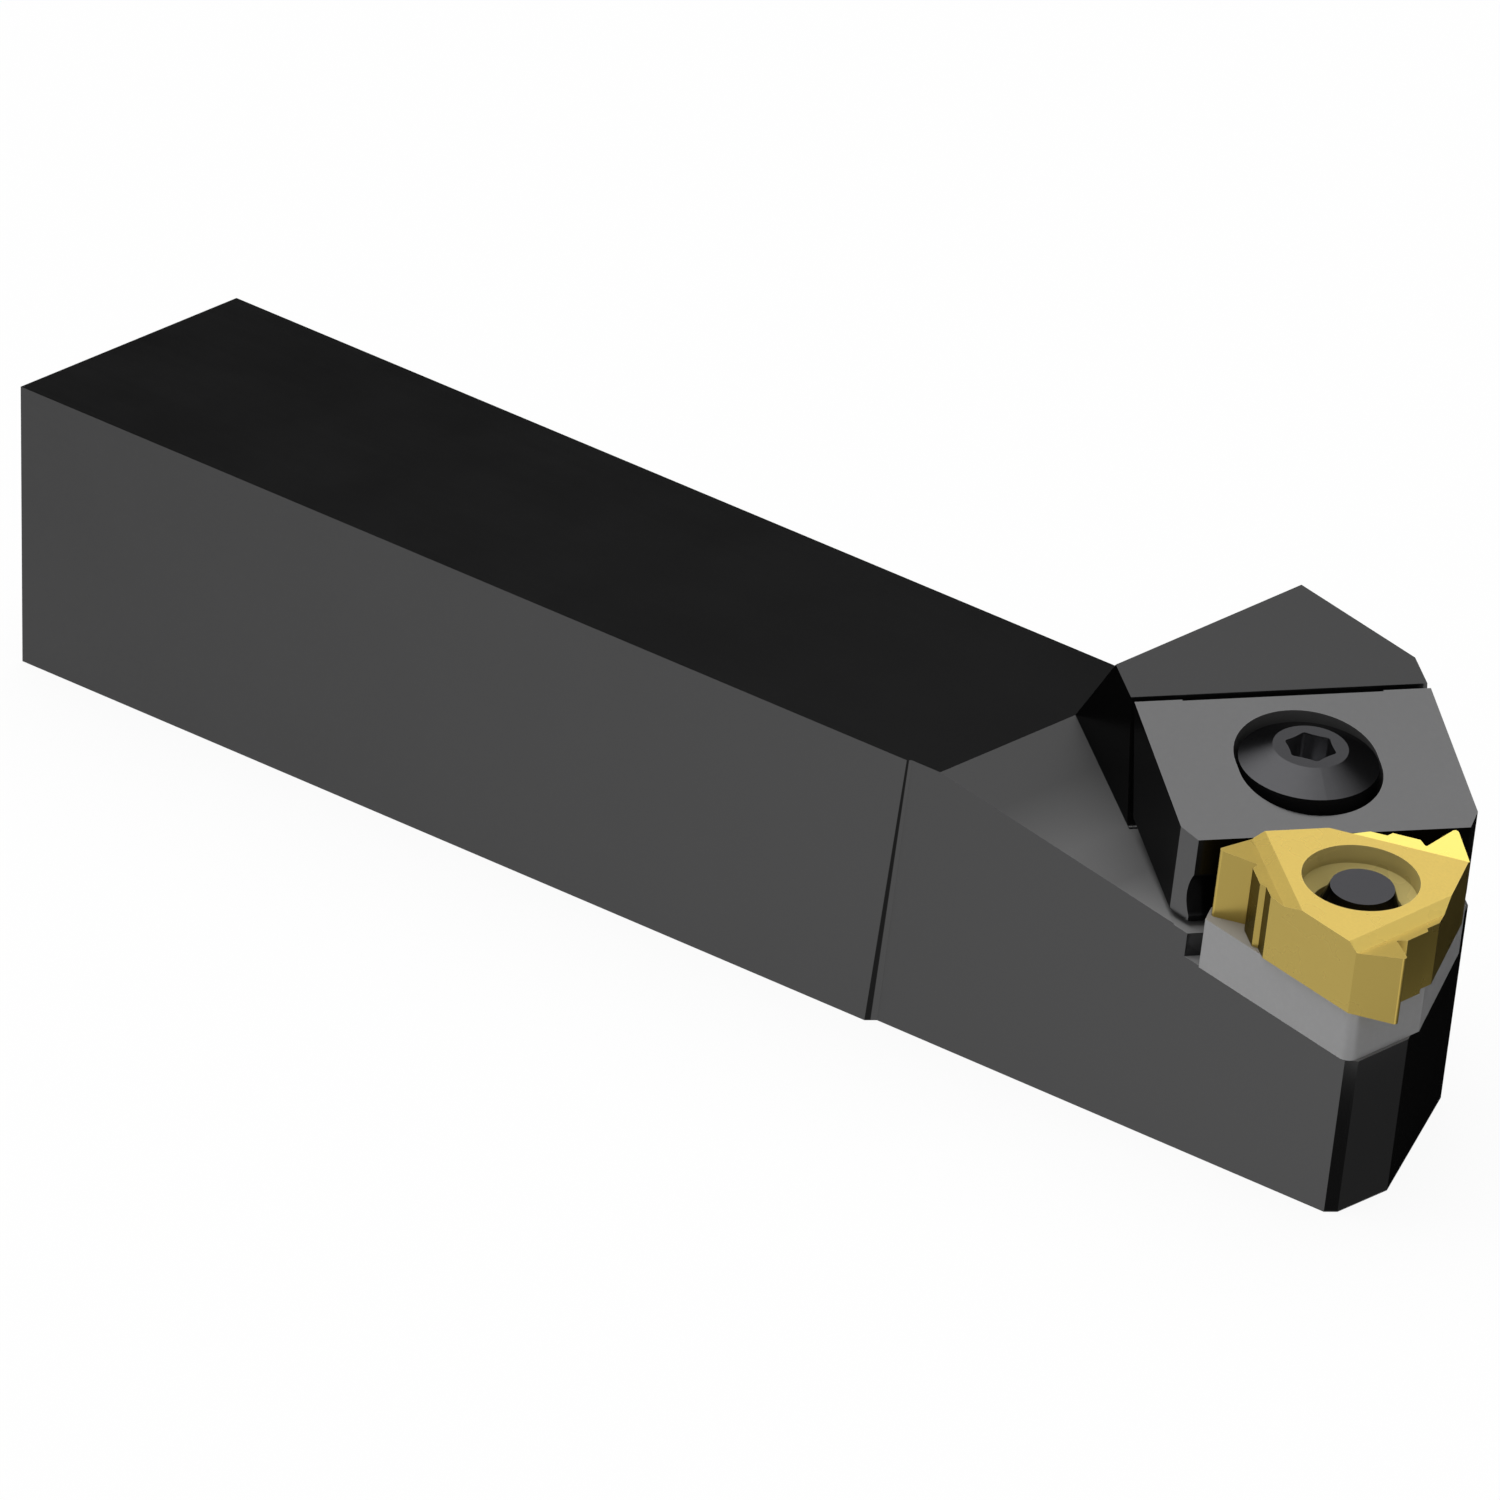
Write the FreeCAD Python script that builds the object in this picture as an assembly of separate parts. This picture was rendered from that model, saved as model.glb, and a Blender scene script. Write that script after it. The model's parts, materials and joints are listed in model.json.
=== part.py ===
import FreeCAD, Part
import math
import os

# External threading tool holder, right hand, with a wedge clamp.
# All sizes are in millimetres. The shank lies along X with its base on Z = 0,
# the cutting end points along +X, and the clamp side is +Y.
# The origin is on the base, in the middle of the gripped length of the shank.

# Shank
shank_height = 16.0
shank_width = 16.0
grip_length = 60.0
top_length = 68.35

# Lean of the insert seat, in degrees, which gives the cutting tooth its clearance
lean_forward = 10.0
lean_side = 1.0

# Height of the cutting tip over the base
tip_height = 15.9

# Middle of the insert, measured from the rear end and from the shank's centre line
seat_reach = 93.42
seat_offset = -3.285

# Head, measured from the middle of the insert in the plane of the seat
near_face = 4.51
nose_front = 5.0
nose_chamfer = 0.5
nose_side = 4.16
nose_side_angle = 30.0
far_face = 16.41
block_rear = 21.1
step_distance = 16.44
head_slope = 10.0
ramp_slope = 45.0

# Clamp block and its slot, square to the line from the wedge to the insert
clamp_angle = -30.0
clamp_offset = -0.07
slot_half_width = 8.03
block_height = 7.93
floor_height = 1.41
wall_gap = 0.65
wall_angle = 18.3
floor_front = 4.12
floor_fillet = 0.6

# Shim
shim_thickness = 3.0
shim_front = 4.81
shim_side = 4.48
shim_back = 4.10
shim_corner_cut = 7.66
shim_nose_radius = 0.68
shim_overhang = 0.11

# Threading insert
inscribed_circle = 9.525
insert_thickness = 4.15
tooth_tip = 6.67
tooth_offset = 3.37
tooth_half_angle = 30.0
crest_radius = 0.20
root_depth = 4.97
root_radius = 0.10
shoulder_reach = 5.32
shoulder_end = 0.33
shoulder_drop = 0.28
ramp_start = 3.905
ramp_width = 0.635
valley_depth = 0.43
rake_angle = 9.3
counterbore_diameter = 6.23
counterbore_depth = 1.1
insert_bore = 4.8

# Pin through the insert and the shim
pin_diameter = 4.4
pin_shift = 0.14
pin_shift_angle = 28.0
pin_flat_diameter = 3.4
pin_cone_angle = 20.0
pin_sink = 0.5
pin_depth = 6.0
pin_end_chamfer = 0.3

# Wedge
wedge_length = 11.15
wedge_rear_height = 8.06
wedge_top_tilt = 6.7
wedge_lift = 1.72
wedge_bottom_tilt = 4.2
wedge_rear_angle = 20.2
wedge_land = 2.15
groove_height = 2.55
groove_depth = 0.28
near_trim = 4.045
side_trim = 3.9
heel_half_width = 5.45
heel_top = 5.6
heel_bottom = 2.9
heel_recess = 0.09
heel_depth = 3.0
heel_lead = 0.2
heel_overlap = 1.0

# Wedge screw
screw_from_rear = 5.47
thread_diameter = 4.0
thread_bottom = -8.0
head_flat_diameter = 4.0
flange_diameter = 7.4
head_top = 8.42
cone_height = 0.88
flange_seat = 5.6
socket_across = 2.74
socket_inner = 2.35
socket_lobe_radius = 0.22
socket_depth = 2.0
screw_point = 0.5

# Wedge hole, long enough for the wedge to shift against its wall
hole_width = 7.68
hole_stretch = 0.81
neck_play = 0.3

# Retaining ring under the wedge
ring_thickness = 0.6
ring_outside = 5.4
ring_groove_diameter = 3.2
ring_top = 3.40
ring_gap_angle = 70.0
ring_pocket_diameter = 6.8

# Fits
wedge_fit = 0.02
thread_fit = 0.05
ring_fit = 0.05

UP = FreeCAD.Vector(0, 0, 1)


def point(x, y, z=0.0):
    return FreeCAD.Vector(x, y, z)


def tan(degrees):
    return math.tan(math.radians(degrees))


def sin(degrees):
    return math.sin(math.radians(degrees))


def cos(degrees):
    return math.cos(math.radians(degrees))


def polar(radius, degrees, z=0.0):
    return point(radius * cos(degrees), radius * sin(degrees), z)


def polygon_face(points):
    wire = Part.makePolygon(points + [points[0]])
    return Part.Face(wire)


def prism(points, vector):
    return polygon_face(points).extrude(vector)


def cylinder(radius, bottom, top, x=0.0, y=0.0):
    return Part.makeCylinder(radius, top - bottom, point(x, y, bottom), UP)


def meet(normal_a, distance_a, normal_b, distance_b):
    """Where two lines of a plan meet, each given by its outward normal's angle and distance."""
    ax, ay = cos(normal_a), sin(normal_a)
    bx, by = cos(normal_b), sin(normal_b)
    det = ax * by - ay * bx
    x = (distance_a * by - distance_b * ay) / det
    y = (ax * distance_b - bx * distance_a) / det
    return point(x, y)


def line(start, end):
    return Part.LineSegment(start, end).toShape()


def arc(start, middle, end):
    return Part.Arc(start, middle, end).toShape()


def slot_outline(width, stretch, z):
    """An oval, stretched along X, as a closed wire at height z."""
    radius = width / 2
    half = stretch / 2
    a = point(-half, radius, z)
    b = point(half, radius, z)
    c = point(half, -radius, z)
    d = point(-half, -radius, z)
    right = arc(b, point(half + radius, 0, z), c)
    left = arc(d, point(-half - radius, 0, z), a)
    return Part.Wire([line(a, b), right, line(c, d), left])


# Frames

reach = 4 * shank_height
rear_x = -grip_length / 2
inner_radius = inscribed_circle / 2
insert_top = shim_thickness + insert_thickness
rake_rise = tan(rake_angle)
valley_start = ramp_start + ramp_width
tip_drop = valley_depth - (tooth_tip - valley_start) * rake_rise

seat_normal = point(tan(lean_forward), -tan(lean_side), 1.0).normalize()
seat_along = point(cos(lean_forward), 0.0, -sin(lean_forward))
seat_across = seat_normal.cross(seat_along)
tip_z = (seat_along.z * tooth_tip - seat_across.z * tooth_offset
         + seat_normal.z * (insert_top - tip_drop))
datum = point(rear_x + seat_reach, seat_offset, tip_height - tip_z)
seat_rotation = FreeCAD.Rotation(seat_along, seat_across, seat_normal, "ZXY")
seat_frame = FreeCAD.Placement(datum, seat_rotation)
clamp_shift = point(-clamp_offset * sin(clamp_angle), clamp_offset * cos(clamp_angle))
clamp_turn = FreeCAD.Placement(clamp_shift, FreeCAD.Rotation(UP, clamp_angle))
clamp_frame = seat_frame.multiply(clamp_turn)
head_side = slot_half_width + clamp_offset
pin_centre = point(pin_shift * cos(pin_shift_angle), pin_shift * sin(pin_shift_angle))

# Places along the clamp line, from the middle of the insert
wedge_front = -(inner_radius + wedge_fit)
wedge_rear = wedge_front - wedge_length
screw_line = wedge_rear + screw_from_rear
wall_rear = wedge_rear - wall_gap
wall_foot = wall_rear + (block_height - floor_height) * tan(wall_angle)


def place(shape, frame):
    moved = shape.copy()
    moved.Placement = frame
    return moved


def place_again(shape, frame):
    """Adds a frame to a solid that already has a place of its own."""
    moved = shape.copy()
    moved.Placement = frame.multiply(shape.Placement)
    return moved


def clamp_box(across_from, across_to, along_from, along_to, low, high):
    """A box in the clamp's frame, set by its limits across and along the clamp line."""
    corner = point(along_from, across_from, low)
    box = Part.makeBox(along_to - along_from, across_to - across_from, high - low, corner)
    return place(box, clamp_frame)


# Holder body

def head_prism():
    """The head's plan, standing square to the insert seat."""
    step_near = point(-step_distance * math.sqrt(2) - near_face, -near_face)
    far_corner = meet(90.0 + clamp_angle, head_side, 90.0, far_face)
    shoulder_top = point(-block_rear, far_face)
    shoulder_run = shoulder_top.x - step_near.x
    outline = [
        step_near,
        point(nose_front - nose_chamfer, -near_face),
        point(nose_front, -near_face + nose_chamfer),
        meet(0.0, nose_front, nose_side_angle, nose_side),
        meet(nose_side_angle, nose_side, 90.0 + clamp_angle, head_side),
        far_corner,
        shoulder_top,
        point(step_near.x, far_face - shoulder_run),
    ]
    low = [p + UP * -reach for p in outline]
    return place(prism(low, UP * (reach + block_height)), seat_frame)


def shank_bar():
    """The square bar, ending at the small slanted step where the head's near face begins."""
    bar = Part.makeBox(top_length + shank_height, shank_width, shank_height,
                       point(rear_x, -shank_width / 2))
    step = Part.makeBox(reach, 2 * reach, 2 * reach, point(0, -reach, -reach))
    step.Placement = FreeCAD.Placement(point(0, 0), FreeCAD.Rotation(UP, -45.0))
    step.translate(polar(-step_distance, -45.0))
    return bar.cut(place_again(step, seat_frame))


def above_top():
    """What is milled away above the shank and behind the clamp block's ramp."""
    ramp_foot = rear_x + top_length
    rise = reach * tan(ramp_slope)
    profile = [
        point(rear_x - reach, -reach, shank_height),
        point(ramp_foot, -reach, shank_height),
        point(ramp_foot + reach, -reach, shank_height + rise),
        point(rear_x - reach, -reach, shank_height + rise),
    ]
    return prism(profile, point(0, 2 * reach, 0))


def above_slope():
    """What is milled away above the sloping shoulder, on the near side of the clamp block."""
    ramp_foot = rear_x + top_length
    profile = [
        point(ramp_foot, -reach, shank_height),
        point(ramp_foot + reach, -reach, shank_height - reach * tan(head_slope)),
        point(ramp_foot + reach, -reach, shank_height + reach),
        point(ramp_foot, -reach, shank_height + reach),
    ]
    slab = prism(profile, point(0, 2 * reach, 0))
    near = clamp_box(-2 * reach, -slot_half_width, -2 * reach, 2 * reach, -reach, reach)
    return slab.common(near)


def wedge_slot():
    """The slot for the wedge, with its slanted rear wall and a rounded foot."""
    wall_top = wall_foot - (reach - floor_height) * tan(wall_angle)
    profile = [
        point(wall_foot, -slot_half_width, floor_height),
        point(reach, -slot_half_width, floor_height),
        point(reach, -slot_half_width, reach),
        point(wall_top, -slot_half_width, reach),
    ]
    slot = prism(profile, point(0, reach, 0))
    foot = [e for e in slot.Edges
            if all(abs(v.X - wall_foot) < 1e-6 and abs(v.Z - floor_height) < 1e-6
                   for v in e.Vertexes)]
    return place(slot.makeFillet(floor_fillet, foot), clamp_frame)


def insert_seat():
    """The seat of the shim, one step below the slot's floor."""
    return clamp_box(-reach, reach, -floor_front, reach, 0.0, reach)


def make_holder_body():
    body = shank_bar().fuse(head_prism())
    ground = Part.makeBox(4 * reach, 4 * reach, 2 * reach, point(-2 * reach, -2 * reach, -2 * reach))
    body = body.cut(ground)
    for cutter in (above_top(), above_slope(), wedge_slot(), insert_seat()):
        body = body.cut(cutter)
    pin_hole = place(cylinder(pin_diameter / 2, -pin_depth, reach, pin_centre.x, pin_centre.y),
                     seat_frame)
    screw_hole = place(cylinder(thread_diameter / 2 + thread_fit, -reach, reach, screw_line),
                       clamp_frame)
    return body.cut(pin_hole).cut(screw_hole).removeSplitter()


# Shim

def make_shim():
    back = 180.0 + clamp_angle
    left_cut = 210.0
    right_cut = 90.0
    near = near_face + shim_overhang
    corners = [
        meet(back, shim_back, left_cut, shim_corner_cut),
        meet(left_cut, shim_corner_cut, 270.0, near),
        meet(270.0, near, 0.0, shim_front),
        meet(0.0, shim_front, nose_side_angle, shim_side),
        meet(nose_side_angle, shim_side, right_cut, shim_corner_cut),
        meet(right_cut, shim_corner_cut, back, shim_back),
    ]
    shim = prism(corners, UP * shim_thickness)
    nose = corners[2]
    upright = [e for e in shim.Edges
               if all(math.hypot(v.X - nose.x, v.Y - nose.y) < 1e-6 for v in e.Vertexes)]
    shim = shim.makeFillet(shim_nose_radius, upright)
    shim = shim.cut(cylinder(insert_bore / 2, -1.0, shim_thickness + 1.0))
    return place(shim, seat_frame)


# Threading insert

def corner_edges(turn):
    """The cutting profile of one corner, from its near side to its far side."""
    side = -inner_radius
    apex = tooth_tip + crest_radius / sin(tooth_half_angle) - crest_radius
    slope = tan(tooth_half_angle)
    crest_centre = tooth_tip - crest_radius
    crest_x = crest_centre + crest_radius * sin(tooth_half_angle)
    crest_y = crest_radius * cos(tooth_half_angle)
    root_centre = root_depth + root_radius
    root_x = root_centre - root_radius * sin(tooth_half_angle)
    root_y = -tooth_offset + (apex - root_x) * slope
    root_mid = root_y + root_radius * cos(tooth_half_angle)
    root_exit = root_mid + root_radius * cos(45.0)
    root_exit_x = root_centre - root_radius * sin(45.0)
    flank_start = apex + (side + tooth_offset) / slope
    drop_reach = shoulder_reach - shoulder_drop
    drop_end = -shoulder_end + shoulder_drop * 0.75
    last_y = (inner_radius - drop_reach * cos(30.0)) / sin(30.0)
    shoulder_start = root_exit + (shoulder_reach - root_exit_x)
    points = {
        "flank_start": point(flank_start, side),
        "crest_a": point(crest_x, -tooth_offset - crest_y),
        "crest_m": point(tooth_tip, -tooth_offset),
        "crest_b": point(crest_x, -tooth_offset + crest_y),
        "root_a": point(root_x, root_y),
        "root_m": point(root_depth, root_mid),
        "root_b": point(root_exit_x, root_exit),
        "shoulder_a": point(shoulder_reach, shoulder_start),
        "shoulder_b": point(shoulder_reach, -shoulder_end),
        "drop": point(drop_reach, drop_end),
        "last": point(drop_reach, last_y),
    }
    rotation = FreeCAD.Rotation(UP, turn)
    p = {name: rotation.multVec(value) for name, value in points.items()}
    edges = [
        line(p["flank_start"], p["crest_a"]),
        arc(p["crest_a"], p["crest_m"], p["crest_b"]),
        line(p["crest_b"], p["root_a"]),
        arc(p["root_a"], p["root_m"], p["root_b"]),
        line(p["root_b"], p["shoulder_a"]),
        line(p["shoulder_a"], p["shoulder_b"]),
        line(p["shoulder_b"], p["drop"]),
        line(p["drop"], p["last"]),
    ]
    return edges, p["flank_start"], p["last"]


def rake_cutter(turn):
    """The hollow ground behind one tooth: a short ramp down, then the rake face rising to the tip."""
    outer = tooth_tip + 2.0
    outer_height = (outer - valley_start) * rake_rise - valley_depth
    width = 3 * inner_radius
    profile = [
        point(ramp_start, -width, 0),
        point(valley_start, -width, -valley_depth),
        point(outer, -width, outer_height),
        point(outer, -width, outer_height + 2.0),
        point(ramp_start, -width, outer_height + 2.0),
    ]
    cutter = prism(profile, point(0, 2 * width, 0))
    cutter.Placement = FreeCAD.Placement(UP * insert_top, FreeCAD.Rotation(UP, turn))
    return cutter


def make_insert():
    turns = [0.0, 120.0, 240.0]
    edges = []
    previous_last = corner_edges(turns[-1])[2]
    for turn in turns:
        corner, first, last = corner_edges(turn)
        edges.append(line(previous_last, first))
        edges.extend(corner)
        previous_last = last
    outline = Part.Wire(edges)
    outline.translate(UP * shim_thickness)
    insert = Part.Face(outline).extrude(UP * insert_thickness)
    for turn in turns:
        insert = insert.cut(rake_cutter(turn))
    wide = counterbore_diameter / 2
    narrow = insert_bore / 2
    step = insert_top - counterbore_depth
    insert = insert.cut(cylinder(wide, step, insert_top + 1.0))
    cone = Part.makeCone(narrow, wide, wide - narrow, point(0, 0, step - (wide - narrow)), UP)
    insert = insert.cut(cone)
    insert = insert.cut(cylinder(narrow, 0.0, step))
    return place(insert, seat_frame)


# Pin

def make_pin():
    radius = pin_diameter / 2
    flat = pin_flat_diameter / 2
    top = insert_top - pin_sink
    cone = (radius - flat) / tan(pin_cone_angle)
    profile = [
        point(0, 0, -pin_depth),
        point(radius - pin_end_chamfer, 0, -pin_depth),
        point(radius, 0, -pin_depth + pin_end_chamfer),
        point(radius, 0, top - cone),
        point(flat, 0, top),
        point(0, 0, top),
    ]
    pin = polygon_face(profile).revolve(point(0, 0), UP, 360)
    pin.translate(pin_centre)
    return place_again(pin, seat_frame)


# Wedge

def wedge_profile(t_from, t_to, rear_points):
    """The wedge's section along the clamp line, made as wide as t_from to t_to."""
    front_height = wedge_rear_height - wedge_length * tan(wedge_top_tilt)
    land_foot = front_height - wedge_land
    groove_foot = land_foot - groove_height
    bottom_rear = wedge_lift + (rear_points[-1].x - wedge_front) * -tan(wedge_bottom_tilt)
    rear_points[-1].z = bottom_rear
    front = [
        point(wedge_front, t_from, front_height),
        point(wedge_front, t_from, land_foot),
        point(wedge_front, t_from, groove_foot),
        point(wedge_front, t_from, wedge_lift),
    ]
    groove = arc(front[1], point(wedge_front - groove_depth, t_from,
                                 (land_foot + groove_foot) / 2), front[2])
    edges = [line(front[0], front[1]), groove, line(front[2], front[3])]
    back = [point(p.x, t_from, p.z) for p in rear_points]
    trail = [front[3]] + back[::-1] + [front[0]]
    for start, end in zip(trail, trail[1:]):
        edges.append(line(start, end))
    return Part.Face(Part.Wire(edges)).extrude(point(0, t_to - t_from, 0))


def wall_at(height):
    """Where the slot's rear wall stands at a height above the seat."""
    return wall_rear + (block_height - height) * tan(wall_angle)


def wedge_body():
    rear_foot = wedge_rear + (wedge_rear_height - wedge_lift) * tan(wedge_rear_angle)
    plain = [point(wedge_rear, 0, wedge_rear_height), point(rear_foot, 0, wedge_lift)]
    body = wedge_profile(-slot_half_width, slot_half_width, plain)
    recess = wedge_rear + heel_recess
    recess_cut = Part.makeBox(reach, 2 * heel_half_width, reach,
                              point(recess - reach, -heel_half_width, heel_top + heel_overlap))
    body = body.cut(recess_cut)
    heel_low = wall_at(heel_bottom) + wedge_fit
    heel_high = wall_at(heel_top) + wedge_fit
    heel_front = screw_line - heel_depth
    heel = [
        point(heel_front, -heel_half_width, heel_top + heel_overlap),
        point(recess + heel_lead, -heel_half_width, heel_top + heel_overlap),
        point(heel_high, -heel_half_width, heel_top),
        point(heel_low, -heel_half_width, heel_bottom),
        point(heel_front, -heel_half_width, heel_bottom),
    ]
    return body.fuse(prism(heel, point(0, 2 * heel_half_width, 0)))


def trims():
    """The two upright faces that trim the wedge beside the insert, flush with the head."""
    near = Part.makeBox(4 * reach, reach, 4 * reach, point(-2 * reach, -near_trim - reach, -2 * reach))
    side = Part.makeBox(reach, 4 * reach, 4 * reach, point(side_trim, -2 * reach, -2 * reach))
    side.Placement = FreeCAD.Placement(point(0, 0), FreeCAD.Rotation(UP, nose_side_angle))
    return place(near, seat_frame), place_again(side, seat_frame)


def make_wedge():
    wedge = wedge_body()
    hole = Part.Face(slot_outline(hole_width, hole_stretch, flange_seat)).extrude(UP * reach)
    neck = Part.Face(slot_outline(thread_diameter + neck_play, hole_stretch, -reach))
    neck = neck.extrude(UP * 2 * reach)
    pocket = Part.Face(slot_outline(ring_pocket_diameter, hole_stretch, -reach))
    pocket = pocket.extrude(UP * (reach + ring_top + ring_fit))
    for cutter in (hole, neck, pocket):
        cutter.translate(point(screw_line, 0))
        wedge = wedge.cut(cutter)
    wedge = place(wedge, clamp_frame)
    for cutter in trims():
        wedge = wedge.cut(cutter)
    return wedge.removeSplitter()


# Wedge screw

def socket_wire():
    """The six-lobed socket: round lobes joined by tangent hollows."""
    lobe_centre = socket_across / 2 - socket_lobe_radius
    inner = socket_inner / 2
    half_turn = 30.0
    top = (socket_lobe_radius ** 2 - lobe_centre ** 2 - inner ** 2
           + 2 * lobe_centre * inner * cos(half_turn))
    hollow_radius = top / (2 * inner - 2 * lobe_centre * cos(half_turn) - 2 * socket_lobe_radius)
    hollow_centre = inner + hollow_radius
    edges = []
    for step in range(6):
        turn = 60.0 * step
        lobe = polar(lobe_centre, turn)
        before = polar(hollow_centre, turn - half_turn)
        after = polar(hollow_centre, turn + half_turn)
        following = polar(lobe_centre, turn + 60.0)
        start = lobe + (before - lobe).normalize() * socket_lobe_radius
        end = lobe + (after - lobe).normalize() * socket_lobe_radius
        hollow_end = following + (after - following).normalize() * socket_lobe_radius
        edges.append(arc(start, polar(socket_across / 2, turn), end))
        edges.append(arc(end, polar(inner, turn + half_turn), hollow_end))
    return Part.Wire(edges)


def make_screw():
    flange = flange_diameter / 2
    shaft = thread_diameter / 2
    groove = ring_groove_diameter / 2
    ring_bottom = ring_top - ring_thickness
    profile = [
        point(0, 0, thread_bottom),
        point(shaft - screw_point, 0, thread_bottom),
        point(shaft, 0, thread_bottom + screw_point),
        point(shaft, 0, ring_bottom),
        point(groove, 0, ring_bottom),
        point(groove, 0, ring_top),
        point(shaft, 0, ring_top),
        point(shaft, 0, flange_seat),
        point(flange, 0, flange_seat),
        point(flange, 0, head_top - cone_height),
        point(head_flat_diameter / 2, 0, head_top),
        point(0, 0, head_top),
    ]
    screw = polygon_face(profile).revolve(point(0, 0), UP, 360)
    socket = Part.Face(socket_wire())
    socket.translate(UP * (head_top - socket_depth))
    screw = screw.cut(socket.extrude(UP * (socket_depth + 1.0)))
    screw.translate(point(screw_line, 0))
    return place_again(screw, clamp_frame)


# Retaining ring

def make_ring():
    """An open ring that snaps into the screw's groove."""
    outer = ring_outside / 2
    inner = ring_groove_diameter / 2
    low = ring_top - ring_thickness
    ring = cylinder(outer, low, ring_top).cut(cylinder(inner, low - 1.0, ring_top + 1.0))
    far = 2 * outer
    gap = [
        point(0, 0, low - 1.0),
        polar(far, -ring_gap_angle / 2, low - 1.0),
        polar(far, ring_gap_angle / 2, low - 1.0),
    ]
    ring = ring.cut(prism(gap, UP * (ring_thickness + 2.0)))
    ring.translate(point(screw_line, 0))
    return place_again(ring, clamp_frame)


NODES = {
    "holder_body": make_holder_body,
    "shim": make_shim,
    "threading_insert": make_insert,
    "insert_pin": make_pin,
    "wedge_clamp": make_wedge,
    "wedge_screw": make_screw,
    "retaining_ring": make_ring,
}

os.makedirs("parts", exist_ok=True)
for name, make in NODES.items():
    shape = make()
    if len(shape.Solids) != 1 or not shape.isValid():
        raise RuntimeError(name + " is not one valid solid")
    shape = shape.Solids[0]
    shape.exportStep(os.path.join("parts", name + ".step"))
    print(name, round(shape.Volume, 2), "mm3", shape.BoundBox)
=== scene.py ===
import json
import math

import bpy
from mathutils import Matrix, Vector

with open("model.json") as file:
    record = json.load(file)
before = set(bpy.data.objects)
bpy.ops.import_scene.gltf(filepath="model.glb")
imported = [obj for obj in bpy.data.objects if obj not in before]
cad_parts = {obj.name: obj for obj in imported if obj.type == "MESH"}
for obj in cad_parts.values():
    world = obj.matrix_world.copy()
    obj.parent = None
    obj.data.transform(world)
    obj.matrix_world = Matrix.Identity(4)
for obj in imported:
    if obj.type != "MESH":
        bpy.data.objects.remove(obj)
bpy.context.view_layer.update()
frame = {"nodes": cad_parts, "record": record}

MM = 0.001
NODES = frame["nodes"]
WHITE = (1.0, 1.0, 1.0)


# Camera, at the photograph's viewing angle: a long lens, 45 degrees round and 25 degrees up

VIEW_AZIMUTH = math.radians(45.0)
VIEW_ELEVATION = math.radians(25.0)
VIEW_DISTANCE = 2.7138
VIEW_TARGET = Vector((0.018, 0.0, 0.008))
# The small shift of the camera to its right and up that centres the picture.
VIEW_RIGHT = -0.001037
VIEW_UP = -0.000006
LENS = 1242.1
SENSOR = 36.0
CLIP_START = 0.1
CLIP_END = 20.0


def add_camera():
    """A camera that sees the object as the photograph does, framed on its 1500 by 1500 picture."""
    back = Vector((
        math.sin(VIEW_AZIMUTH) * math.cos(VIEW_ELEVATION),
        -math.cos(VIEW_AZIMUTH) * math.cos(VIEW_ELEVATION),
        math.sin(VIEW_ELEVATION),
    ))
    right = Vector((math.cos(VIEW_AZIMUTH), math.sin(VIEW_AZIMUTH), 0.0))
    up = back.cross(right)
    data = bpy.data.cameras.new("camera")
    data.lens = LENS
    data.sensor_width = SENSOR
    data.clip_start = CLIP_START
    data.clip_end = CLIP_END
    camera = bpy.data.objects.new("camera", data)
    turn = Matrix((right, up, back)).transposed().to_4x4()
    place = VIEW_TARGET + right * VIEW_RIGHT + up * VIEW_UP + back * VIEW_DISTANCE
    camera.matrix_world = Matrix.Translation(place) @ turn
    bpy.context.scene.collection.objects.link(camera)
    bpy.context.scene.camera = camera


# Node helpers

# Where Blender's Mix node keeps its two colours and its result.
MIX_FIRST = 6
MIX_SECOND = 7
MIX_RESULT = 2

EDGE_WIDTH = 0.08 * MM
EDGE_TURNED = 0.80
EDGE_STRAIGHT = 0.995


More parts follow.
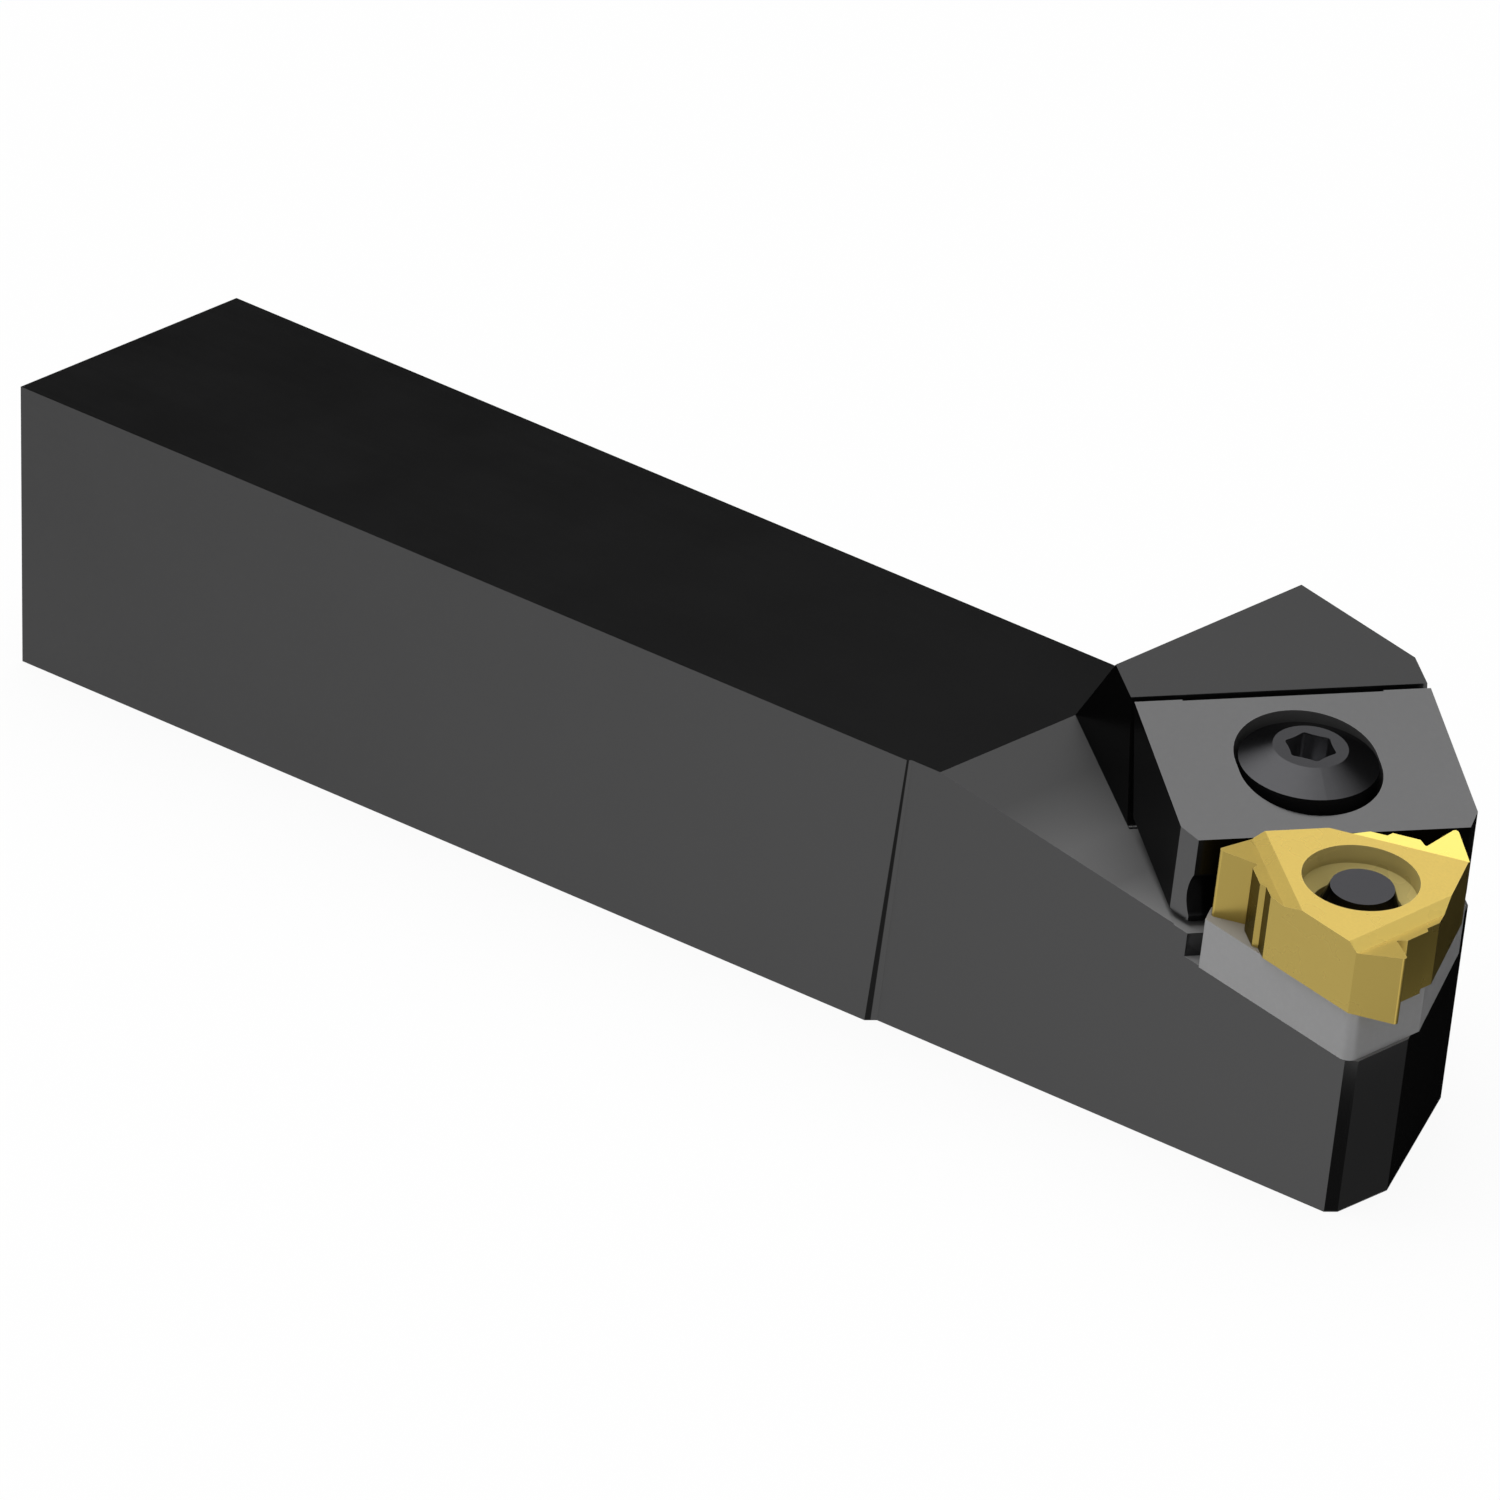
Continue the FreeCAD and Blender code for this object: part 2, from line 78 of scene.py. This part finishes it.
class Tree:
    """A few short ways to add and join the shader nodes of a material or of the world."""

    def __init__(self, owner):
        owner.use_nodes = True
        self.owner = owner
        self.nodes = owner.node_tree.nodes
        self.links = owner.node_tree.links

    def add(self, kind, **settings):
        node = self.nodes.new("ShaderNode" + kind)
        for key, value in settings.items():
            setattr(node, key, value)
        return node

    def feed(self, value, target):
        """Joins a socket to an input, or sets the input to a constant."""
        if isinstance(value, bpy.types.NodeSocket):
            self.links.new(value, target)
        elif target.type == "RGBA":
            target.default_value = (*value, 1.0)
        else:
            target.default_value = value

    def vector(self, operation, first, second=None):
        """Vector maths. Dot products and lengths give a number, and all the rest a vector."""
        node = self.add("VectorMath", operation=operation)
        self.feed(first, node.inputs[0])
        if second is not None:
            self.feed(second, node.inputs[1])
        return node.outputs["Value" if operation in ("DOT_PRODUCT", "LENGTH") else "Vector"]

    def math(self, operation, *values):
        node = self.add("Math", operation=operation)
        for value, target in zip(values, node.inputs):
            self.feed(value, target)
        return node.outputs[0]

    def place(self):
        """The point on the object in its own frame, in millimetres."""
        where = self.add("TexCoord").outputs["Object"]
        return self.vector("MULTIPLY", where, (1.0 / MM, 1.0 / MM, 1.0 / MM))

    def coordinate(self, vector, axis):
        """A vector's X, Y or Z."""
        split = self.add("SeparateXYZ")
        self.feed(vector, split.inputs[0])
        return split.outputs[axis]

    def facing(self, direction):
        """How far the surface's own normal points along a direction, from -1 to 1."""
        return self.vector("DOT_PRODUCT", self.add("TexCoord").outputs["Normal"], direction)

    def noise(self, vector, detail, rough=0.55, size=1.0):
        node = self.add("TexNoise")
        node.inputs["Scale"].default_value = 1.0 / size
        node.inputs["Detail"].default_value = detail
        node.inputs["Roughness"].default_value = rough
        self.feed(vector, node.inputs["Vector"])
        return node.outputs["Fac"]

    def between(self, value, low, high, start=0.0, end=1.0):
        """A number from low to high, while the value goes from start to end."""
        node = self.add("MapRange")
        for target, number in (("Value", value), ("From Min", start), ("From Max", end),
                               ("To Min", low), ("To Max", high)):
            self.feed(number, node.inputs[target])
        return node.outputs["Result"]

    def rise(self, value, start, end):
        """From 0 to 1, while the value goes from start to end."""
        return self.between(value, 0.0, 1.0, start, end)

    def fall(self, value, start, end):
        """From 1 to 0, while the value goes from start to end."""
        return self.between(value, 1.0, 0.0, start, end)

    def mix(self, factor, first, second):
        """A colour between two, each a colour or a socket."""
        node = self.add("Mix", data_type="RGBA")
        self.feed(factor, node.inputs["Factor"])
        self.feed(first, node.inputs[MIX_FIRST])
        self.feed(second, node.inputs[MIX_SECOND])
        return node.outputs[MIX_RESULT]

    def edge(self):
        """1 along outer edges and 0 on open faces, from how the normal turns close by."""
        bevel = self.add("Bevel", samples=6)
        bevel.inputs["Radius"].default_value = EDGE_WIDTH
        true_normal = self.add("NewGeometry").outputs["Normal"]
        turned = self.vector("DOT_PRODUCT", bevel.outputs[0], true_normal)
        return self.fall(turned, EDGE_TURNED, EDGE_STRAIGHT)

    def bump(self, height, distance, strength):
        node = self.add("Bump")
        node.inputs["Strength"].default_value = strength
        node.inputs["Distance"].default_value = distance
        self.feed(height, node.inputs["Height"])
        return node.outputs["Normal"]


def new_material(name):
    """A new material that holds nothing but its output."""
    tree = Tree(bpy.data.materials.new(name))
    tree.nodes.clear()
    tree.out = tree.add("OutputMaterial")
    return tree


def grey(level, blue=None):
    """A grey, or a slightly cold one with a blue of its own."""
    return (level, level, level if blue is None else blue)


def shade(rgb, factor):
    """A colour made lighter or darker by a factor."""
    return tuple(min(1.0, channel * factor) for channel in rgb)


# Places on the object that get a tone of their own, most of them painted light and shade
# that stands in for how light falls there. Each function says where one reaches, from 0
# to 1. Distances are in millimetres.

SOCKET = {mount["name"]: mount for mount in frame["record"]["mounts"]}["screw_socket"]
SCREW_TOP = tuple(value / MM for value in SOCKET["pos_m"])
HEAD_UP = tuple(SOCKET["axis"])
SOCKET_RADIUS = 1.40
WEDGE_HOLE_RADIUS = 4.35
INSERT_CENTRE = (63.42, -3.285, 10.155)
BORE_RADIUS = 3.15
FADE = 0.05

SHANK_END = -30.0
NOSE_FRONT = 66.0

# Ways that faces of the holder and the wedge turn, which pick out the step's and the wedge front's
# painted shade, and the ramp.
STEP_FACE = (0.7071, -0.7071, 0.0)
RAMP_FACE = (0.174, 0.0, 0.985)
WEDGE_FRONT = (0.851, -0.5, -0.162)

# Ways that faces of the insert turn, which pick out painted shade and painted light on the coating.
NEAR_SIDE = (-0.003, -1.0, -0.017)
FLANK = (0.49, -0.866, -0.101)
TURNED_BACK = (-0.495, -0.866, 0.072)
VALLEY_WALL = (0.696, -0.014, 0.718)
FAR_RAKE = (0.2505, -0.157, 0.9554)
FAR_FLANKS = (0.93, 0.26, -0.16)

# The step, whose outer half is painted dark as shade: how far along the shank it reaches, its
# middle line and how that leans with height.
STEP_END = 45.0
STEP_FADE = 1.0
STEP_MIDDLE = -7.775
STEP_LEAN = 0.0087
STEP_LINE_FADE = 0.01

# The ramp: its level over the base, how it falls along the shank, and where its tones change, the
# lower ones painted lighter against the shade beside the wedge.
RAMP_LEVEL = 22.85
RAMP_FALL = 0.1763
RAMP_FADE = 0.1
LOW_RAMP = (42.5, 47.5)
RAMP_FOOT = (51.0, 55.5)

# How high over the screw's top the socket's painted light ends, and where it is full.
SOCKET_LIP = -0.01
SOCKET_WALL = -0.06

# How squarely a face turns to a direction where its tone starts and where it is full.
ROUGHLY = (0.90, 0.94)
MOSTLY = (0.90, 0.96)
NEARLY = (0.95, 0.99)
CLOSELY = (0.975, 0.99)
CLOSER = (0.993, 0.998)
EXACTLY = (0.995, 0.999)
SQUARELY = (0.995, 0.9995)
ACROSS = (0.2, 0.4)


def near_axis(tree, where, centre, radius):
    """All that lies within a radius of the head's own upright axis through a centre."""
    offset = tree.vector("SUBTRACT", where, centre)
    distance = tree.vector("LENGTH", tree.vector("CROSS_PRODUCT", offset, HEAD_UP))
    return tree.fall(distance, radius, radius + FADE)


def painted_shade_in_step(tree, where):
    """The outer half of the small slanted step between the shank's near side and the head's, where
    dark shade is painted.
    """
    behind = tree.fall(tree.coordinate(where, "X"), STEP_END - STEP_FADE, STEP_END)
    slant = tree.rise(tree.facing(STEP_FACE), *ROUGHLY)
    depth = tree.math("MULTIPLY_ADD", tree.coordinate(where, "Z"), STEP_LEAN,
                      tree.coordinate(where, "Y"))
    outer = tree.fall(depth, STEP_MIDDLE - STEP_LINE_FADE, STEP_MIDDLE + STEP_LINE_FADE)
    return tree.math("MULTIPLY", tree.math("MULTIPLY", behind, slant), outer)


def in_ramp(tree, where):
    """The matt milled ramp between the head's near side and the wedge's slot."""
    level = tree.math("MULTIPLY_ADD", tree.coordinate(where, "X"), RAMP_FALL,
                      tree.coordinate(where, "Z"))
    below = tree.fall(level, RAMP_LEVEL, RAMP_LEVEL + RAMP_FADE)
    return tree.math("MULTIPLY", below, tree.rise(tree.facing(RAMP_FACE), *EXACTLY))


def painted_light_low_on_ramp(tree, where):
    """The ramp's lower part, beside the wedge, painted lighter against the shade that falls there.
    """
    low = tree.rise(tree.coordinate(where, "X"), *LOW_RAMP)
    return tree.math("MULTIPLY", in_ramp(tree, where), low)


def painted_light_ramp_foot(tree, where):
    """The ramp's foot, on the slot's floor under the wedge's tip, painted lighter still against the
    shade in the gap.
    """
    foot = tree.rise(tree.coordinate(where, "X"), *RAMP_FOOT)
    return tree.math("MULTIPLY", in_ramp(tree, where), foot)


def painted_light_towards_head(tree, where):
    """From 0 at the shank's end to 1 at the nose, where the holder is painted lighter as light that
    grows towards the head.
    """
    return tree.rise(tree.coordinate(where, "X"), SHANK_END, NOSE_FRONT)


def on_top(tree, where):
    """Faces square to the head's own axis."""
    return tree.rise(tree.facing(HEAD_UP), *SQUARELY)


def painted_shade_off_top(tree, where):
    """All that doesn't face along the head's own axis, where the pin's sides are painted near black
    as shade.
    """
    return tree.fall(tree.facing(HEAD_UP), *MOSTLY)


def painted_light_in_socket(tree, where):
    """The walls and floor of the screw's socket, painted lighter against the shade inside it."""
    near = near_axis(tree, where, SCREW_TOP, SOCKET_RADIUS)
    height = tree.vector("DOT_PRODUCT", tree.vector("SUBTRACT", where, SCREW_TOP), HEAD_UP)
    return tree.math("MULTIPLY", near, tree.fall(height, SOCKET_WALL, SOCKET_LIP))


def painted_light_in_screw_hole(tree, where):
    """The upright walls of the wedge's hole, painted lighter against the shade in the hole."""
    near = near_axis(tree, where, SCREW_TOP, WEDGE_HOLE_RADIUS)
    level = tree.math("ABSOLUTE", tree.facing(HEAD_UP))
    return tree.math("MULTIPLY", near, tree.fall(level, *ACROSS))


def painted_light_in_bore(tree, where):
    """The insert's counterbore, its wall and the cone under it, painted lighter against the shade
    in the bore.
    """
    near = near_axis(tree, where, INSERT_CENTRE, BORE_RADIUS)
    return tree.math("MULTIPLY", near, tree.fall(tree.facing(HEAD_UP), *NEARLY))


def painted_shade_facing_insert(tree, where):
    """The wedge's front, which turns to the insert, painted near black as shade."""
    return tree.rise(tree.facing(WEDGE_FRONT), *ROUGHLY)


def painted_shade_away_from_tip(tree, where):
    """The insert's flanks that turn away from the near side, painted darker as shade."""
    return tree.rise(tree.facing(FAR_FLANKS), *ROUGHLY)


def painted_highlight_on_far_rake(tree, where):
    """The rake face of the insert's far tooth, the brightest of the three, with its highlight
    painted in.
    """
    return tree.rise(tree.facing(FAR_RAKE), *CLOSER)


def on_face(direction):
    """Makes the function of the insert's faces that turn closely to a direction, which picks out
    faces for painted shade and painted light.
    """
    return lambda tree, where: tree.rise(tree.facing(direction), *CLOSELY)


# Materials

# A finish is how metallic and how rough a surface is.
BLACKENED = (0.96, 0.20)
TURNED = (0.95, 0.20)
SPRING = (1.0, 0.3)
GROUND = (0.15, 0.40)
MILLED = (0.0, 0.9)
SHELTERED = (0.0, 0.4)

# How long, wide and high a grinding mark is, in millimetres.
ALONG_SHANK = (9.0, 0.06, 0.06)
ACROSS_WEDGE = (0.06, 6.0, 0.06)
ROUND_PIECE = (0.3, 0.3, 0.05)
SPECKLED = (0.4, 0.4, 0.4)

SPECULAR_LEVEL = 0.5
SPECULAR_TINT = (0.35, 0.35, 0.35)

# The middle of a noise's range, and of two noises added, which is where most of it lies.
MIDDLE = (0.3, 0.7)
MIDDLE_OF_TWO = (0.7, 1.3)

# How the texture of steel and of the coating is made: sizes and heights in millimetres, and
# colours as a share of the surface's own.
STEEL_CLOUD = 7.0
STEEL_SPECK = 0.30
STEEL_CLOUD_TONES = (0.98, 1.02)
STEEL_SPECK_TONE = 1.35
STEEL_SPECK_SHARE = 0.10
STEEL_SPECK_RANGE = (0.45, 0.75)
STEEL_ROUGHNESS_SPREAD = 0.02
STEEL_BUMP = 0.001
STEEL_BUMP_STRENGTH = 0.25
LINE_SHARE = 0.6
SPECK_SHARE = 0.4

COAT_CLOUD = 3.0
COAT_SPECK = 0.15
COAT_CLOUD_TONES = (0.97, 1.03)
COAT_SPECK_TONE = 0.97
COAT_SPECK_RANGE = (0.4, 0.7)
COAT_ROUGHNESS_SPREAD = 0.02
COAT_WEAR = 0.5
COAT_WAVE = 0.8
COAT_BUMP = 0.002
COAT_BUMP_STRENGTH = 0.2

# The specks break up the wear along an edge.
WEAR_RANGE = (0.35, 0.6)
STEEL_WEAR_LEAST = 0.4
COAT_WEAR_LEAST = 0.5


def finish_material(tree, colour, roughness, normal, metallic):
    """Ends a material in one glossy shader, whose mirror at a grazing angle is toned down."""
    shader = tree.add("BsdfPrincipled")
    for name, value in (("Base Color", colour), ("Roughness", roughness), ("Normal", normal),
                        ("Metallic", metallic), ("Specular IOR Level", SPECULAR_LEVEL)):
        tree.feed(value, shader.inputs[name])
    shader.inputs["Specular Tint"].default_value = (*SPECULAR_TINT, 1.0)
    tree.feed(shader.outputs[0], tree.out.inputs["Surface"])
    return tree.owner


def steel(name, rgb, worn, finish, grain=ALONG_SHANK, wear=0.3, places=()):
    """Steel with fine grinding lines, a faint cloudy finish and lighter, worn edges.

    Each of places is a function that says where it reaches, with its colour and its finish. Most of
    these colours are painted light and shade.
    """
    tree = new_material(name)
    where = tree.place()
    clouds = tree.noise(where, detail=3.0, size=STEEL_CLOUD)
    specks = tree.noise(where, detail=3.0, rough=0.6, size=STEEL_SPECK)
    lines = tree.noise(tree.vector("DIVIDE", where, grain), detail=3.0)
    darker, lighter = (shade(rgb, tone) for tone in STEEL_CLOUD_TONES)
    colour = tree.mix(tree.rise(clouds, *MIDDLE), darker, lighter)
    colour = tree.mix(tree.between(specks, 0.0, STEEL_SPECK_SHARE, *STEEL_SPECK_RANGE),
                      colour, shade(rgb, STEEL_SPECK_TONE))
    edge = tree.math("MULTIPLY", tree.edge(),
                     tree.between(specks, STEEL_WEAR_LEAST, 1.0, *WEAR_RANGE))
    colour = tree.mix(tree.math("MULTIPLY", edge, wear), colour, worn)
    metallic, rough = finish
    rough = tree.between(tree.math("ADD", clouds, lines), rough - STEEL_ROUGHNESS_SPREAD,
                         rough + STEEL_ROUGHNESS_SPREAD, *MIDDLE_OF_TWO)
    for share, other, (shine, matt) in places:
        reach = share(tree, where)
        colour = tree.mix(reach, colour, other)
        metallic = tree.between(reach, metallic, shine)
        rough = tree.between(reach, rough, matt)
    height = tree.math("ADD", tree.math("MULTIPLY", lines, LINE_SHARE),
                       tree.math("MULTIPLY", specks, SPECK_SHARE))
    normal = tree.bump(height, STEEL_BUMP * MM, STEEL_BUMP_STRENGTH)
    return finish_material(tree, colour, rough, normal, metallic)


def coated(name, rgb, worn, finish, places=()):
    """Hard coating on pressed and ground carbide: a fine sinter grain and brighter edges.

    Each of places is a function that says where it reaches, with its colour and how metallic it is.
    The colours of the places are painted light and shade on the coating.
    """
    tree = new_material(name)
    where = tree.place()
    clouds = tree.noise(where, detail=3.0, size=COAT_CLOUD)
    specks = tree.noise(where, detail=2.0, rough=0.5, size=COAT_SPECK)
    darker, lighter = (shade(rgb, tone) for tone in COAT_CLOUD_TONES)
    colour = tree.mix(tree.rise(clouds, *MIDDLE), darker, lighter)
    colour = tree.mix(tree.rise(specks, *COAT_SPECK_RANGE), colour, shade(rgb, COAT_SPECK_TONE))
    edge = tree.math("MULTIPLY", tree.edge(),
                     tree.between(specks, COAT_WEAR_LEAST, 1.0, *WEAR_RANGE))
    colour = tree.mix(tree.math("MULTIPLY", edge, COAT_WEAR), colour, worn)
    metallic, rough = finish
    for share, other, shine in places:
        reach = share(tree, where)
        colour = tree.mix(reach, colour, other)
        metallic = tree.between(reach, metallic, shine)
    rough = tree.between(clouds, rough - COAT_ROUGHNESS_SPREAD, rough + COAT_ROUGHNESS_SPREAD,
                         *MIDDLE)
    wave = tree.noise(where, detail=1.0, size=COAT_WAVE)
    normal = tree.bump(wave, COAT_BUMP * MM, COAT_BUMP_STRENGTH)
    return finish_material(tree, colour, rough, normal, metallic)


def dress(node, material):
    """Gives a CAD node one material all over."""
    mesh = NODES[node].data
    mesh.materials.clear()
    mesh.materials.append(material)


def dress_all():
    """Gives every CAD node its material."""
    dress("holder_body", steel(
        "blackened_steel", grey(0.065, 0.0655), grey(0.13), BLACKENED,
        # Painted light: the holder grows lighter from the shank's end towards the nose.
        places=[(painted_light_towards_head, grey(0.083, 0.0835), BLACKENED),
                # The top faces keep the plain tone, without that painted light.
                (on_top, grey(0.066, 0.0665), BLACKENED),
                # Painted shade: the step's outer half near black.
                (painted_shade_in_step, grey(0.012), BLACKENED),
                (in_ramp, grey(0.073, 0.0735), MILLED),
                # Painted light: the ramp's low part and its foot lighter, against the shade beside
                # the wedge.
                (painted_light_low_on_ramp, grey(0.13, 0.1305), MILLED),
                (painted_light_ramp_foot, grey(0.26, 0.2605), MILLED)]))
    dress("wedge_clamp", steel(
        "clamp_steel", grey(0.096, 0.097), grey(0.17), BLACKENED, grain=ACROSS_WEDGE,
        # Painted shade: the wedge's front near black.
        places=[(painted_shade_facing_insert, grey(0.012), BLACKENED),
                # Painted light: the walls of the wedge's hole lighter, against the shade in the
                # hole.
                (painted_light_in_screw_hole, grey(0.12), SHELTERED)]))
    dress("wedge_screw", steel(
        "screw_steel", grey(0.061, 0.064), grey(0.15), TURNED, grain=ROUND_PIECE,
        # Painted light: the socket's walls and floor lighter, against the shade inside it.
        places=[(painted_light_in_socket, grey(0.30, 0.31), TURNED)]))
    dress("insert_pin", steel(
        "pin_steel", grey(0.070, 0.075), grey(0.15), TURNED, grain=ROUND_PIECE,
        # Painted shade: the pin's sides near black.
        places=[(painted_shade_off_top, grey(0.012, 0.014), TURNED)]))
    dress("retaining_ring", steel("spring_steel", grey(0.25, 0.26), grey(0.4), SPRING))
    dress("shim", steel(
        "shim_carbide", grey(0.58, 0.585), grey(0.66), GROUND, grain=SPECKLED,
        # Painted shade on the shim's top, tinted warm as a painted reflection of the gold insert.
        places=[(on_top, (0.42, 0.40, 0.36), GROUND)]))
    dress("threading_insert", coated(
        "gold_coating", (0.70, 0.51, 0.122), (0.84, 0.66, 0.26), (0.6, 0.28),
        # Painted shade: the insert's near side, flanks and faces turned back darker than its top.
        places=[(on_face(NEAR_SIDE), (0.565, 0.42, 0.105), 0.6),
                (on_face(FLANK), (0.50, 0.37, 0.093), 0.6),
                (on_face(TURNED_BACK), (0.20, 0.15, 0.035), 0.8),
                # Painted light: the valley wall as bright as the top.
                (on_face(VALLEY_WALL), (0.90, 0.67, 0.17), 0.05),
                # Painted highlight: the far tooth's rake face, lighter and more lemon.
                (painted_highlight_on_far_rake, (0.72, 0.60, 0.138), 0.6),
                # Painted shade: the flanks turned away from the near side darker.
                (painted_shade_away_from_tip, (0.44, 0.33, 0.08), 0.8),
                # Painted light: the counterbore's wall and cone lighter, against the shade in the
                # bore.
                (painted_light_in_bore, (0.78, 0.64, 0.24), 0.1)]))


# Floor

FLOOR_HALF = 3.0
FLOOR_GLOW = 0.93
PAPER_SEEN = 0.98
PAPER_UNSEEN = 0.24

# Where the nose stands on the floor, how far ahead its own reflections and the shim's fall, and
# how far the cards reach. All are in metres.
NOSE_FOOT = 0.06671
NOSE_SIDE = -0.00713
NOSE_CORNER = 0.0662
NOSE_REACH = 0.0753
SHIM_REACH = 0.0788
REAR_START = 0.042
REAR_NEAR = -0.0035
REAR_FAR = 0.040
CORNER_NEAR = -0.0180
CORNER_END = NOSE_REACH + 0.0008
CARD_END = 0.30
CARD_FAR = 0.16
CARD_HEIGHT = 0.05 * MM

# Each card's lowest and highest corner, and how bright it is.
CARDS = {
    "rear_card": ((REAR_START, REAR_NEAR), (NOSE_FOOT, REAR_FAR), 0.01),
    "front_card": ((NOSE_FOOT, NOSE_SIDE), (NOSE_REACH, CARD_FAR), 0.18),
    "middle_card": ((NOSE_REACH, NOSE_SIDE), (SHIM_REACH, CARD_FAR), 0.30),
    "outer_card": ((SHIM_REACH, NOSE_SIDE), (CARD_END, CARD_FAR), 0.07),
    "corner_card": ((NOSE_CORNER, CORNER_NEAR), (CORNER_END, NOSE_SIDE), 0.05),
}


def add_flat(name, low, high, height, material):
    """A level rectangle, put into the scene."""
    corners = [(low[0], low[1], height), (high[0], low[1], height),
               (high[0], high[1], height), (low[0], high[1], height)]
    mesh = bpy.data.meshes.new(name)
    mesh.from_pydata(corners, [], [(0, 1, 2, 3)])
    mesh.materials.append(material)
    flat = bpy.data.objects.new(name, mesh)
    bpy.context.scene.collection.objects.link(flat)
    return flat


def glow(tree, strength):
    node = tree.add("Emission")
    tree.feed(WHITE, node.inputs["Color"])
    node.inputs["Strength"].default_value = strength
    return node.outputs[0]


def add_floor():
    """A plain floor, far wider than the view: white where it is seen or mirrored."""
    tree = new_material("floor_white")
    path = tree.add("LightPath")
    seen = tree.math("MAXIMUM", path.outputs["Is Camera Ray"], path.outputs["Is Glossy Ray"])
    seen = tree.math("MAXIMUM", seen, path.outputs["Is Transmission Ray"])
    paper = tree.add("BsdfDiffuse")
    tree.feed(tree.mix(seen, grey(PAPER_UNSEEN), grey(PAPER_SEEN)), paper.inputs["Color"])
    blend = tree.add("MixShader")
    tree.feed(tree.math("MULTIPLY", seen, FLOOR_GLOW), blend.inputs[0])
    tree.feed(paper.outputs[0], blend.inputs[1])
    tree.feed(glow(tree, 1.0), blend.inputs[2])
    tree.feed(blend.outputs[0], tree.out.inputs["Surface"])
    add_flat("floor", (-FLOOR_HALF, -FLOOR_HALF), (FLOOR_HALF, FLOOR_HALF), 0.0, tree.owner)


def add_cards():
    """Dim glowing cards just over the floor past the nose, seen only in the steel's reflections:
    painted shade that the steel mirrors in place of the pale floor.
    """
    for name, (low, high, level) in CARDS.items():
        tree = new_material(name + "_mirrored_shade")
        tree.feed(glow(tree, level), tree.out.inputs["Surface"])
        card = add_flat(name, low, high, CARD_HEIGHT, tree.owner)
        card.visible_camera = False
        card.visible_shadow = False
        card.visible_diffuse = False


# Light

DOME_AXIS = Vector((-0.25, 0.20, 0.947)).normalized()
DOME_START = 0.71
DOME_FULL = 0.93
DOME_LEVEL = 2.07
HORIZON_LEVEL = 1.0
HORIZON_RANGE = (0.03, 0.07)
SKY_LEVEL = 0.02
FRONT_AXIS = (0.707, -0.707, 0.0)
FRONT_LEVEL = 0.35
FRONT_FULL = 0.6

SOFTBOX_PLACE = Vector((0.02, -0.10, 0.80))
SOFTBOX_AIM = Vector((0.04, 0.0, 0.01))
SOFTBOX_SIZE = 0.5
SOFTBOX_WATTS = 1.3


def add_softbox():
    """A soft box overhead, which lights matt surfaces and isn't mirrored."""
    data = bpy.data.lights.new("overhead_softbox", "AREA")
    data.shape = "SQUARE"
    data.size = SOFTBOX_SIZE
    data.energy = SOFTBOX_WATTS
    lamp = bpy.data.objects.new("overhead_softbox", data)
    lamp.location = SOFTBOX_PLACE
    lamp.rotation_euler = (SOFTBOX_AIM - SOFTBOX_PLACE).to_track_quat("-Z", "Y").to_euler()
    lamp.visible_glossy = False
    bpy.context.scene.collection.objects.link(lamp)


def add_dome():
    """A wide soft dome overhead, a weak fill from the camera's side and a pale horizon."""
    tree = Tree(bpy.data.worlds.new("dome"))
    back = tree.nodes["Background"]
    tree.feed(WHITE, back.inputs["Color"])
    direction = tree.add("TexCoord").outputs["Generated"]
    dome = tree.between(tree.vector("DOT_PRODUCT", direction, DOME_AXIS), 0.0, DOME_LEVEL,
                        DOME_START, DOME_FULL)
    height = tree.math("ABSOLUTE", tree.coordinate(direction, "Z"))
    horizon = tree.between(height, HORIZON_LEVEL, SKY_LEVEL, *HORIZON_RANGE)
    front = tree.between(tree.vector("DOT_PRODUCT", direction, FRONT_AXIS), 0.0, FRONT_LEVEL,
                         0.0, FRONT_FULL)
    total = tree.math("ADD", tree.math("ADD", dome, horizon), front)
    tree.feed(total, back.inputs["Strength"])
    bpy.context.scene.world = tree.owner


add_camera()
add_floor()
add_softbox()
add_cards()
add_dome()
dress_all()

bpy.context.scene.view_settings.view_transform = "Standard"
